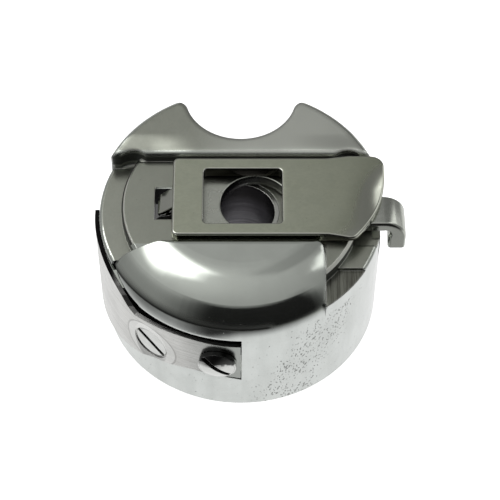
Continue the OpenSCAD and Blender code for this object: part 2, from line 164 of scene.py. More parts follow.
# Camera: the photograph's angle and framing
ELEVATION = 53.808
AIM = np.array([0.0, 0.0, 5.04]) * MM
AWAY = 151.10 * MM
camera_data = bpy.data.cameras.new("camera")
camera_data.lens = 129.47
camera_data.sensor_width = 36
camera_data.shift_x = 0.01857
camera_data.shift_y = 0.01029
camera_data.clip_start = 0.005
camera = bpy.data.objects.new("camera", camera_data)
scene.collection.objects.link(camera)
tilt = math.radians(ELEVATION)
camera.location = AIM + AWAY * np.array([0, -math.cos(tilt), math.sin(tilt)])
camera.rotation_euler = (math.pi / 2 - tilt, 0, 0)
scene.camera = camera


# Meshes from grids of points

def grid_faces(rows, columns, wrap_rows):
    """Four-sided faces over rows x columns points. The columns close on themselves, and the rows too
    if asked."""
    last = rows if wrap_rows else rows - 1
    i, j = np.meshgrid(np.arange(last), np.arange(columns), indexing="ij")
    down, right = (i + 1) % rows, (j + 1) % columns
    corners = (i * columns + j, i * columns + right, down * columns + right, down * columns + j)
    return np.stack(corners, -1).reshape(-1, 4)


def six_volumes(points, faces):
    """Six times the volume that the faces enclose: positive if they look outwards."""
    a, b, c = points[faces[:, 0]], points[faces[:, 1]], points[faces[:, 2]]
    six = np.einsum("ij,ij->i", a, np.cross(b, c)).sum()
    if faces.shape[1] == 4:
        d = points[faces[:, 3]]
        six += np.einsum("ij,ij->i", a, np.cross(c, d)).sum()
    return six


def closed_grid(grid, wrap_rows):
    """Points and faces of a closed skin: rings of points, whose first and last ring close in a fan
    about their own middles unless the rings meet each other again."""
    rows, columns = grid.shape[:2]
    points = grid.reshape(-1, 3)
    faces = grid_faces(rows, columns, wrap_rows)
    fans = np.zeros((0, 3), int)
    if not wrap_rows:
        k = np.arange(columns)
        n = (k + 1) % columns
        first = np.stack([n, k, np.full(columns, len(points))], 1)
        end = (rows - 1) * columns
        last = np.stack([end + k, end + n, np.full(columns, len(points) + 1)], 1)
        points = np.concatenate([points, grid[0].mean(0)[None], grid[-1].mean(0)[None]])
        fans = np.concatenate([first, last])
    volume = six_volumes(points, faces) + (six_volumes(points, fans) if len(fans) else 0)
    if volume < 0:
        faces, fans = faces[:, ::-1], fans[:, ::-1]
    return points, faces.tolist() + fans.tolist()


def make_piece(name, skins, material, body, replaced):
    """One object from closed skins, in millimetres, riding on a body in place of a CAD node."""
    points, faces, base = [], [], 0
    for skin_points, skin_faces in skins:
        points.append(skin_points)
        faces += [[base + v for v in face] for face in skin_faces]
        base += len(skin_points)
    mesh = bpy.data.meshes.new(name)
    mesh.from_pydata((np.concatenate(points) * MM).tolist(), [], faces)
    mesh.polygons.foreach_set("use_smooth", np.ones(len(mesh.polygons), bool))
    mesh.materials.append(material)
    mesh.update()
    piece = bpy.data.objects.new(name, mesh)
    scene.collection.objects.link(piece)
    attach(piece, body)
    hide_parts(replaced)
    return piece


def arc(middle, radius, start, stop, count):
    """Points on a circle's arc between two angles in degrees."""
    a = np.radians(np.linspace(start, stop, count))
    return np.stack([middle[0] + radius * np.cos(a), middle[1] + radius * np.sin(a)], 1)


def rounded(corners, count=9):
    """A closed outline through corners (x, y, radius): each is cut off by a tangent arc, at
    radius * tan(half the turn) from the corner along both sides."""
    xy = np.array([c[:2] for c in corners], float)
    path = []
    for i, (_, _, radius) in enumerate(corners):
        here = xy[i]
        back, ahead = xy[i - 1] - here, xy[(i + 1) % len(xy)] - here
        back, ahead = back / np.linalg.norm(back), ahead / np.linalg.norm(ahead)
        half = math.acos(np.clip(back @ ahead, -1, 1)) / 2
        if radius == 0 or half > NEARLY_STRAIGHT:
            path.append(here[None])
            continue
        middle = here + (back + ahead) / np.linalg.norm(back + ahead) * radius / math.sin(half)
        reach = radius / math.tan(half)
        a = here + back * reach - middle
        b = here + ahead * reach - middle
        sweep = math.atan2(a[0] * b[1] - a[1] * b[0], a @ b)
        t = np.linspace(0, sweep, count)
        turn = np.stack([np.cos(t), -np.sin(t), np.sin(t), np.cos(t)], 1).reshape(-1, 2, 2)
        path.append(middle + turn @ a)
    return np.concatenate(path)


def oblong(left, right, half, radius):
    """The four corners (x, y, radius) of an oblong of a half width, anticlockwise from the near left."""
    return [(x, y, radius) for x, y in ((left, -half), (right, -half), (right, half), (left, half))]


def sides(loop, marks, counts):
    """A closed loop dealt out again: evenly spaced points between the loop's own points nearest to each
    mark and the next, so that two loops with like marks pair off side by side."""
    at = [int(np.argmin(((loop - m) ** 2).sum(1))) for m in np.array(marks)]
    out = []
    for start, stop, count in zip(at, at[1:] + at[:1], counts):
        run = np.roll(loop, -start, 0)[:(stop - start) % len(loop) + 1]
        way = np.concatenate([[0], np.cumsum(np.linalg.norm(np.diff(run, axis=0), axis=1))])
        t = np.linspace(0, way[-1], count, endpoint=False)
        out.append(np.stack([np.interp(t, way, run[:, 0]), np.interp(t, way, run[:, 1])], 1))
    return np.concatenate(out)


def inward(loop):
    """Unit normals of an anticlockwise loop, to its left."""
    along = np.roll(loop, -1, 0) - np.roll(loop, 1, 0)
    along /= np.linalg.norm(along, axis=1)[:, None]
    return np.stack([-along[:, 1], along[:, 0]], 1)


def smooth_step(x, lo, hi):
    """0 below lo, 1 above hi, with level ends between."""
    t = np.clip((x - lo) / (hi - lo), 0, 1)
    return t * t * (3 - 2 * t)


# Plates and bars with rounded edges

def ring_plate(inner, outer, top, under, inner_edge, outer_edge, under_edge, flange=None):
    """A plate round one hole: the section (hole's wall, rounded edge, top, rounded edge, outer wall,
    underside) carried round both outlines at once, point by point across from the hole to the rim.
    A rounded edge of radius e lies e * (1 - cos a) in and e * (1 - sin a) down, a from 0 to 90 degrees.
    top and under give heights over (x, y). A flange (height, spread) widens the rim in Y below it."""
    into_rim, into_hole = inward(outer), -inward(inner)
    quarter = np.radians(np.linspace(0, 90, EDGE_STEPS))
    rings = []

    def ring(xy, z):
        rings.append(np.column_stack([xy, z + np.zeros(len(xy))]))

    for share in np.linspace(0, 1, WALL_STEPS):
        low, high = under(inner) + under_edge, top(inner) - inner_edge
        ring(inner, low + (high - low) * share)
    for a in quarter[1:]:
        ring(inner + into_hole * inner_edge * (1 - math.cos(a)), top(inner) - inner_edge * (1 - math.sin(a)))
    from_xy, to_xy = inner + into_hole * inner_edge, outer + into_rim * outer_edge
    for share in 1 - (1 - np.linspace(0, 1, TOP_STEPS)[1:-1]) ** TOP_CROWDING:
        xy = from_xy + (to_xy - from_xy) * share
        ring(xy, top(xy))
    for a in quarter[::-1] if outer_edge else quarter[:1]:
        xy = outer + into_rim * outer_edge * (1 - math.cos(a))
        ring(xy, top(to_xy) - outer_edge * (1 - math.sin(a)))
    foot = outer
    if flange:
        foot = outer * (1, flange[1])
        ring(outer, flange[0])
        ring(foot, flange[0])
    for share in np.linspace(0, 1, WALL_STEPS)[1:]:
        high = flange[0] if flange else top(to_xy) - outer_edge
        low = under(foot) + under_edge
        ring(foot, high + (low - high) * share)
    for a in quarter[1:] if under_edge else []:
        ring(foot + into_rim * under_edge * (1 - math.cos(a)), under(foot) + under_edge * (1 - math.sin(a)))
    from_xy, to_xy = foot + into_rim * under_edge, inner + into_hole * under_edge
    across = np.linspace(0, 1, UNDER_STEPS)[1:]
    for share in across if under_edge else across[:-1]:
        xy = from_xy + (to_xy - from_xy) * share
        ring(xy, under(xy))
    for a in quarter[::-1][1:-1] if under_edge else []:
        ring(inner + into_hole * under_edge * (1 - math.cos(a)),
             under(inner) + under_edge * (1 - math.sin(a)))
    return closed_grid(np.array(rings), True)


def rounded_bar(outline, low, high, edge):
    """A flat outline in X and Z made into a bar along Y, from low to high, with rounded end edges:
    the outline drawn in by edge * (1 - sin a) while Y moves by edge * (1 - cos a)."""
    turn = np.roll(outline, -1, 0)
    if np.sum(outline[:, 0] * turn[:, 1] - outline[:, 1] * turn[:, 0]) < 0:
        outline = outline[::-1]
    into = inward(outline)
    middle = outline.mean(0)
    steps = [(middle + (outline + into * edge - middle) * share, 0.0) for share in (0.35, 0.7)]
    for a in np.radians(np.linspace(0, 90, 7)):
        steps.append((outline + into * edge * (1 - math.sin(a)), edge * (1 - math.cos(a))))
    rings = [np.insert(xz, 1, low + y, axis=1) for xz, y in steps]
    rings += [np.insert(xz, 1, high - y, axis=1) for xz, y in steps[::-1]]
    return closed_grid(np.array(rings), False)


# Latch lever

def lever_outer():
    """The latch's outline from above: a bar, flared at its free end, cut off by a slanted arc."""
    far_y = FLARE_HALF - FAR_CORNER_R
    far_x = END_MIDDLE[0] + math.sqrt((END_R - FAR_CORNER_R) ** 2 - (far_y - END_MIDDLE[1]) ** 2)
    meet = math.degrees(math.atan2(far_y - END_MIDDLE[1], far_x - END_MIDDLE[0]))
    near = math.degrees(math.atan2(NEAR_CORNER[1] - END_MIDDLE[1], NEAR_CORNER[0] - END_MIDDLE[0]))
    end = np.concatenate([arc(END_MIDDLE, END_R, near + 3, meet, 40),
                          arc((far_x, far_y), FAR_CORNER_R, meet, 90, 14)[1:]])
    corners = [(LEVER_LEFT, -LEVER_HALF, LEVER_HEEL_R), (FLARE_FROM, -LEVER_HALF, FLARE_R),
               (*NEAR_CORNER, NEAR_CORNER_R)]
    corners += [(x, y, 0) for x, y in end]
    corners += [(FLARE_TO, FLARE_HALF, FLARE_R), (FLARE_FROM, LEVER_HALF, FLARE_R),
                (LEVER_LEFT, LEVER_HALF, LEVER_HEEL_R)]
    return rounded(corners)


def lever_plate():
    """The latch's plate round its window. Its top is level, and drops by ROLL_DROP * w ** ROLL_POWER
    towards the end arc, w rising from 0 to 1 over ROLL_LENGTH. The drop is ROLL_NEAR of that at the near
    corner and ROLL_FAR of it at the far one. Its underside is raised at the hinge, over the ears and at
    the near corner."""
    left, right, half = WINDOW
    window = rounded(oblong(left, right, half, WINDOW_R))
    nip, heel = WINDOW_R * CORNER_IN, LEVER_HEEL_R * CORNER_IN
    counts = (110, 120, 80, 120)  # along the free end, the far side, the hinge end and the near side
    inner = sides(window, [(right - nip, -half + nip), (right - nip, half - nip), (left + nip, half - nip),
                           (left + nip, -half + nip)], counts)
    outer = sides(lever_outer(), [NEAR_CORNER, FAR_CORNER, (LEVER_LEFT + heel, LEVER_HALF - heel),
                                  (LEVER_LEFT + heel, -LEVER_HALF + heel)], counts)

    def top(xy):
        inside = END_R - np.linalg.norm(xy - np.array(END_MIDDLE), axis=1)
        w = np.clip(1 - inside / ROLL_LENGTH, 0, 1) * smooth_step(xy[:, 0], 5.0, 7.5)
        drop = ROLL_DROP * (ROLL_NEAR + (1 - ROLL_NEAR) * smooth_step(xy[:, 1], -3.6, 0.4))
        drop *= 1 - (1 - ROLL_FAR) * smooth_step(xy[:, 1], 0.4, 3.6)
        return LEVER_TOP - drop * w ** ROLL_POWER

    def under(xy):
        y = np.abs(xy[:, 1])
        beside = smooth_step(y, 0.95, 1.03) * (1 - smooth_step(y, 1.6, 1.68))
        ear = smooth_step(-xy[:, 0], 4.6, 4.75) * beside
        heel_up = smooth_step(-xy[:, 0], 5.15, 5.45)
        near_end = smooth_step(xy[:, 0], 6.0, 8.6) * smooth_step(-xy[:, 1], 1.5, 3.6)
        return LEVER_UNDER + np.maximum(HEEL_RISE * heel_up, EAR_RISE * ear) + NEAR_RISE * near_end

    return ring_plate(inner, outer, top, under, WINDOW_EDGE, LEVER_EDGE, UNDER_EDGE)


def lever_tongue():
    """The tongue that reaches into its hole in the disc, with the knuckle round the hinge pin."""
    x, z = HINGE
    side = rounded([(x + 0.2, TONGUE_TOP, 0.1), (x - 0.32, TONGUE_TOP, 0.15), (-6.72, 11.95, 0.16),
                    (-6.60, TONGUE_LOW, 0.12), (-6.2, TONGUE_LOW, 0.2), (x + 0.2, z - KNUCKLE_R, 0.3)])
    return rounded_bar(side, -TONGUE_HALF, TONGUE_HALF, TONGUE_EDGE)


# Latch slide

def slide_plate(left, right, hole):
    """One end of the slide's plate, square to the other end where they meet, round its hole."""
    marks = [corner[:2] for corner in oblong(left, right, SLIDE_HALF, 0)]
    dense = np.concatenate([np.linspace(marks[i], marks[(i + 1) % 4], 60, endpoint=False) for i in range(4)])
    counts = (50, 50, 50, 50)
    outer = sides(dense, marks, counts)
    middle = hole.mean(0)
    corner_way = np.sign(np.array(marks) - middle) * np.ptp(hole, axis=0) / 2
    inner = sides(hole, middle + corner_way, counts)

    def level(z):
        return lambda xy: np.full(len(xy), z)

    return ring_plate(inner, outer, level(SLIDE_TOP), level(SLIDE_UNDER), SLIDE_EDGE, 0.0, 0.0,
                      (SLIDE_FLANGE_TOP, SLIDE_FLANGE_HALF / SLIDE_HALF))


def finger():
    """The bent finger: a rounded oblong section carried along a path level with the slide, round a quarter
    bend and down to the tip. Its outer side keeps the bend's radius; its inner side thickens by
    FINGER_SWELL * s over the bend, s rising smoothly from 0 to 1, and is eased off early in the bend,
    where it comes down past the edge of the wall's slot. The tip closes round like a ball's end."""
    outer_r = FINGER_BEND
    inner_r = FINGER_BEND - (SLIDE_TOP - SLIDE_UNDER)
    middle = np.array([FINGER_X - FINGER_BEND, SLIDE_TOP - FINGER_BEND])
    run = np.linspace(SLIDE_RIGHT - 0.05, middle[0], 8)[:-1]
    outside = [(x, SLIDE_TOP) for x in run]
    inside = [(x, SLIDE_UNDER) for x in run]
    for a in np.linspace(0, 90, 25):
        s = smooth_step(a, 30, 90)
        ease = FINGER_EASE * smooth_step(a, 0, 15) * (1 - smooth_step(a, 30, 60))
        way = np.array([math.sin(math.radians(a)), math.cos(math.radians(a))])
        outside.append(middle + way * outer_r)
        inside.append(middle + way * (inner_r + ease - FINGER_SWELL * s))
    for z in np.linspace(middle[1], FINGER_TIP_Z + FINGER_ROUND, 6)[1:]:
        outside.append((FINGER_X, z))
        inside.append((middle[0] + inner_r - FINGER_SWELL, z))
    outside, inside = np.array(outside), np.array(inside)
    shrink, drop = np.zeros(len(outside)), np.zeros(len(outside))
    for a in np.radians(np.linspace(0, 90, 8))[1:]:
        outside, inside = np.vstack([outside, outside[-1]]), np.vstack([inside, inside[-1]])
        shrink = np.append(shrink, FINGER_ROUND * (1 - math.cos(a)))
        drop = np.append(drop, FINGER_ROUND * math.sin(a))
    centre, across = (outside + inside) / 2, outside - inside
    thick = np.linalg.norm(across, axis=1)
    across /= thick[:, None]
    rings = []
    for c, n, t, s, d in zip(centre, across, thick, shrink, drop):
        half_y, half_t = FINGER_HALF - s, t / 2 - s
        edge = max(0.02, FINGER_ROUND - s)
        loop = rounded(oblong(-half_y, half_y, half_t, edge), 8)
        rings.append(np.column_stack([c[0] + n[0] * loop[:, 1], FINGER_Y + loop[:, 0],
                                      c[1] - d + n[1] * loop[:, 1]]))
    return closed_grid(np.array(rings), False)


def slide_ears():
    """The two ears that carry the hinge pin, each on a short arm."""
    x = HINGE[0]
    ball = arc(HINGE, EAR_R, -60, 240, 24)
    left, right = EAR_FOOT_X
    foot = [(x - 0.2, SLIDE_TOP), (left, EAR_FOOT_Z), (right, EAR_FOOT_Z), (right, SLIDE_TOP - 0.02),
            (x + 0.2, SLIDE_TOP - 0.02)]
    side = np.concatenate([ball, np.array(foot)])
    return [rounded_bar(side, low, high, EAR_EDGE) for low, high in ((-EAR_OUT, -EAR_IN), (EAR_IN, EAR_OUT))]


def slide_skins():
    """The slide: two ends of the plate, which meet between its round hole and the coil's slot, and the
    finger and the ears."""
    circle = arc((SLIDE_HOLE_X, 0.0), SLIDE_HOLE_R, 0, 360, 241)[:-1]
    slot = rounded(oblong(*COIL_SLOT, COIL_SLOT_R))
    return [slide_plate(SLIDE_LEFT, SLIDE_MEET, circle), slide_plate(SLIDE_MEET, SLIDE_RIGHT, slot),
            finger(), *slide_ears()]


# Coil spring

def coil_skin():
    """A tube along a helix about X: x = start + wire/2 * (1 + sin u) + pitch * t / turn, and
    (y, z) on a circle of radius coil_r + wire/2 * cos u at the angle t. The wire's ends close in fans."""
    low, high = (np.array(c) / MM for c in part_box("slide_spring"))
    coil_r = (high[1] - low[1]) / 2 - COIL_WIRE / 2
    pitch = (high[0] - low[0] - COIL_WIRE) / COIL_TURNS
    t = np.linspace(0, COIL_TURNS * 2 * np.pi, COIL_TURNS * COIL_STEPS + 1)[:, None]
    u = np.linspace(0, 2 * np.pi, WIRE_STEPS, endpoint=False)[None]
    r = coil_r + COIL_WIRE / 2 * np.cos(u)
    x = low[0] + COIL_WIRE / 2 * (1 + np.sin(u)) + pitch * t / (2 * np.pi)
    z = (low[2] + high[2]) / 2 + r * np.sin(t)
    return closed_grid(np.stack([x, r * np.cos(t), z], -1), False)


# Short hands for shader trees

def put(tree, socket, value):
    """Sets an input: an output socket is linked to it, anything else is its value."""
    if isinstance(value, bpy.types.NodeSocket):
        tree.links.new(value, socket)
    else:
        socket.default_value = value


def math_node(tree, operation, a, b=0.0):
    """The result socket of one math operation on one or two values or sockets."""
    n = tree.nodes.new("ShaderNodeMath")
    n.operation = operation
    for socket, value in zip(n.inputs, (a, b)):
        put(tree, socket, value)
    return n.outputs[0]


def product(tree, first, *others):
    """All the values multiplied together."""
    for other in others:
        first = math_node(tree, "MULTIPLY", first, other)
    return first


def total(tree, first, *others):
    """All the values added together."""
    for other in others:
        first = math_node(tree, "ADD", first, other)
    return first


def rest_of(tree, x):
    """1 - x."""
    return less(tree, 1.0, x)


def ramp(tree, x, lo, hi, out_lo=0.0, out_hi=1.0):
    """x carried from lo..hi to out_lo..out_hi, held at the ends, with a smooth rise."""
    n = tree.nodes.new("ShaderNodeMapRange")
    n.interpolation_type = "SMOOTHSTEP"
    n.clamp = True
    for socket, value in zip(n.inputs, (x, lo, hi, out_lo, out_hi)):
        put(tree, socket, value)
    return n.outputs[0]


def fall(tree, x, lo, hi):
    """1 where x is below lo, falling smoothly to 0 at hi."""
    return ramp(tree, x, lo, hi, 1.0, 0.0)


def larger(tree, a, b):
    """The larger of two values."""
    return math_node(tree, "MAXIMUM", a, b)


def less(tree, a, b):
    """a - b."""
    return math_node(tree, "SUBTRACT", a, b)


def between(tree, x, lo, hi, soft):
    """1 where x lies between lo and hi, with soft edges of the given width."""
    return product(tree, ramp(tree, x, lo - soft, lo), fall(tree, x, hi, hi + soft))


def blend_colours(tree, factor, a, b):
    """Colour a changed towards colour b by a factor."""
    n = tree.nodes.new("ShaderNodeMix")
    n.data_type = "RGBA"
    for socket, value in zip((n.inputs[0], n.inputs[6], n.inputs[7]), (factor, a, b)):
        put(tree, socket, value)
    return n.outputs[2]


def dot(tree, vector, direction):
    """The part of a vector that lies along a direction."""
    n = tree.nodes.new("ShaderNodeVectorMath")
    n.operation = "DOT_PRODUCT"
    put(tree, n.inputs[0], vector)
    put(tree, n.inputs[1], direction)
    return n.outputs["Value"]


def stretched(tree, vector, factors):
    """A vector with its parts multiplied by three factors."""
    n = tree.nodes.new("ShaderNodeVectorMath")
    n.operation = "MULTIPLY"
    put(tree, n.inputs[0], vector)
    n.inputs[1].default_value = factors
    return n.outputs[0]


def parts_of(tree, vector):
    """The X, Y and Z of a vector."""
    n = tree.nodes.new("ShaderNodeSeparateXYZ")
    put(tree, n.inputs[0], vector)
    return n.outputs


def noise(tree, vector, scale, detail=2.0, rough=0.5):
    """Soft noise from 0 to 1."""
    n = tree.nodes.new("ShaderNodeTexNoise")
    put(tree, n.inputs["Vector"], vector)
    put(tree, n.inputs["Scale"], scale)
    n.inputs["Detail"].default_value = detail
    n.inputs["Roughness"].default_value = rough
    return n.outputs["Fac"]


# Surface effects that several finishes share

def effect(name, inputs, outputs):
    """A new shader node group with float or vector sockets, and its input and output nodes."""
    tree = bpy.data.node_groups.new(name, "ShaderNodeTree")
    for label, kind in inputs.items():
        tree.interface.new_socket(label, in_out="INPUT", socket_type=kind)
    for label, kind in outputs.items():
        tree.interface.new_socket(label, in_out="OUTPUT", socket_type=kind)
    return tree, tree.nodes.new("NodeGroupInput").outputs, tree.nodes.new("NodeGroupOutput").inputs


FLOAT, VECTOR = "NodeSocketFloat", "NodeSocketVector"


def make_rounded_edge():
    """Normals rounded over sharp edges within a width, and how far each point belongs to such an edge."""
    tree, given, result = effect("rounded_edge", {"Width": FLOAT}, {"Normal": VECTOR, "Edge": FLOAT})
    bevel = tree.nodes.new("ShaderNodeBevel")
    bevel.samples = 6
    put(tree, bevel.inputs["Radius"], given["Width"])
    flat = tree.nodes.new("ShaderNodeNewGeometry").outputs["Normal"]
    put(tree, result["Normal"], bevel.outputs[0])
    put(tree, result["Edge"], fall(tree, dot(tree, bevel.outputs[0], flat), 0.80, 0.995))
    return tree


def make_pits():
    """Small round pits: cells of a Voronoi pattern, of which a share holds a pit about its middle."""
    tree, given, result = effect("pits", {"Place": VECTOR, "Scale": FLOAT, "Share": FLOAT, "Size": FLOAT},
                                 {"Pit": FLOAT})
    cells = tree.nodes.new("ShaderNodeTexVoronoi")
    put(tree, cells.inputs["Vector"], given["Place"])
    put(tree, cells.inputs["Scale"], given["Scale"])
    chance = parts_of(tree, cells.outputs["Color"])[0]
    kept = math_node(tree, "LESS_THAN", chance, given["Share"])
    inner = product(tree, given["Size"], 0.5)
    middle = fall(tree, cells.outputs["Distance"], inner, given["Size"])
    put(tree, result["Pit"], product(tree, kept, middle))
    return tree


def make_brush():
    """Fine lines: noise in a stretched place, in a broad and a narrow width together, from 0 to 1."""
    tree, given, result = effect("brush_lines", {"Place": VECTOR, "Scale": FLOAT}, {"Line": FLOAT})
    fine = noise(tree, given["Place"], given["Scale"], 3.0, 0.6)
    broad = noise(tree, given["Place"], product(tree, given["Scale"], 0.27), 2.0, 0.5)
    put(tree, result["Line"], total(tree, product(tree, fine, 0.6), product(tree, broad, 0.4)))
    return tree


def make_smudge():
    """Broad cloudy patches, as of handling, from 0 to 1."""
    tree, given, result = effect("smudge", {"Place": VECTOR, "Scale": FLOAT}, {"Cloud": FLOAT})
    put(tree, result["Cloud"], ramp(tree, noise(tree, given["Place"], given["Scale"], 4.0, 0.55), 0.3, 0.7))
    return tree


ROUNDED_EDGE, PITS, BRUSH, SMUDGE = make_rounded_edge(), make_pits(), make_brush(), make_smudge()


class Finish:
    """A metal finish: a material, its Principled shader, and places in millimetres in the object's own
    frame."""

    def __init__(self, name):
        self.material = bpy.data.materials.new(name)
        self.material.use_nodes = True
        self.tree = self.material.node_tree
        self.shader = self.tree.nodes["Principled BSDF"].inputs
        self.shader["Metallic"].default_value = 1.0
        given = self.tree.nodes.new("ShaderNodeTexCoord").outputs
        self.place = stretched(self.tree, given["Object"], (1 / MM, 1 / MM, 1 / MM))
        self.x, self.y, self.z = parts_of(self.tree, self.place)
        self.normal = given["Normal"]
        self.up = parts_of(self.tree, self.normal)[2]
        squares = (product(self.tree, self.x, self.x), product(self.tree, self.y, self.y))
        self.r = math_node(self.tree, "SQRT", total(self.tree, *squares))

    def add(self, group, **values):
        """An effect's outputs, with its inputs set."""
        n = self.tree.nodes.new("ShaderNodeGroup")
        n.node_tree = group
        for label, value in values.items():
            put(self.tree, n.inputs[label], value)
        return n.outputs

    def edges(self, width):
        """Edges rounded in shading over a width in millimetres, with a mask of them for painted highlights.
        """
        return self.add(ROUNDED_EDGE, Width=width * MM)

    def set(self, colour, rough, height=None, normal=None, depth=0.01):
        """Colour and roughness, and a height from 0 to 1 that stands for a depth in millimetres."""
        put(self.tree, self.shader["Base Color"], colour)
        put(self.tree, self.shader["Roughness"], rough)
        if height is not None:
            bump = self.tree.nodes.new("ShaderNodeBump")
            bump.inputs["Strength"].default_value = 1.0
            bump.inputs["Distance"].default_value = depth * MM
            put(self.tree, bump.inputs["Height"], height)
            if normal is not None:
                put(self.tree, bump.inputs["Normal"], normal)
            normal = bump.outputs[0]
        if normal is not None:
            put(self.tree, self.shader["Normal"], normal)
        return self.material


# Colours of the steel and its wear, and of painted shade, highlights and sheen on it
POLISHED = (0.63, 0.665, 0.61, 1)
WALL = (0.66, 0.685, 0.665, 1)
WALL_STREAK = (0.42, 0.44, 0.425, 1)
OLIVE = (0.42, 0.435, 0.375, 1)
OLIVE_DIM = (0.30, 0.315, 0.265, 1)
HANDLED = (0.30, 0.31, 0.28, 1)
LAND_SHEEN = (0.66, 0.68, 0.62, 1)
MILLED_DARK = (0.12, 0.12, 0.10, 1)
CHAMFER_HIGHLIGHT = (0.92, 0.93, 0.85, 1)
EDGE_HIGHLIGHT = (0.86, 0.86, 0.84, 1)
RIM_HIGHLIGHT = (0.88, 0.88, 0.86, 1)
CHAMBER_SHADE = (0.08, 0.08, 0.078, 1)
SLIDE_FINGER = (0.54, 0.56, 0.51, 1)
SLIDE_PLATE = (0.52, 0.54, 0.48, 1)
SLIDE_DIM = (0.34, 0.35, 0.31, 1)
LEVER_TOP_STEEL = (0.47, 0.495, 0.39, 1)
LEVER_ROLL_STEEL = (0.60, 0.61, 0.55, 1)
LEVER_GRAIN_AND_SHADE = (0.33, 0.35, 0.27, 1)
SLIDE_SHADE = (0.03, 0.03, 0.026, 1)
SLIDE_WALL_SHADE = (0.02, 0.02, 0.018, 1)
SLIDE_UNDERSIDE_SHADE = (0.06, 0.06, 0.055, 1)
SLIDE_FRONT_SHADE = (0.16, 0.165, 0.15, 1)
LEVER_HANDLED = (0.33, 0.345, 0.30, 1)
LEVER_WINDOW_SHADE = (0.03, 0.03, 0.025, 1)
LEVER_SIDE_SHADE = (0.12, 0.115, 0.09, 1)
TUBE_RIM = (0.50, 0.51, 0.47, 1)
BORE_SHADE_LIGHT = (0.16, 0.157, 0.166, 1)
BORE_SHADE_DIM = (0.07, 0.067, 0.074, 1)
BORE_TOP_SHADE = (0.045, 0.043, 0.043, 1)
LEAF_BRIGHT = (0.74, 0.74, 0.72, 1)
LEAF_DIM = (0.56, 0.56, 0.54, 1)
LEAF_HANDLED = (0.42, 0.42, 0.40, 1)
LEAF_RIGHT = (0.28, 0.30, 0.28, 1)
DISH_SHEEN = (0.80, 0.81, 0.79, 1)
DISH_SHADE = (0.25, 0.25, 0.24, 1)
SCREW_STEEL = (0.70, 0.71, 0.69, 1)
SCREW_DIM = (0.47, 0.48, 0.46, 1)
HINGE_PIN = (0.60, 0.60, 0.58, 1)
STOP_PIN = (0.45, 0.45, 0.42, 1)
COIL_STEEL = (0.55, 0.55, 0.52, 1)
SHADE_BLACK = (0.012, 0.012, 0.012, 1)
PIT_DARK = (0.10, 0.10, 0.09, 1)


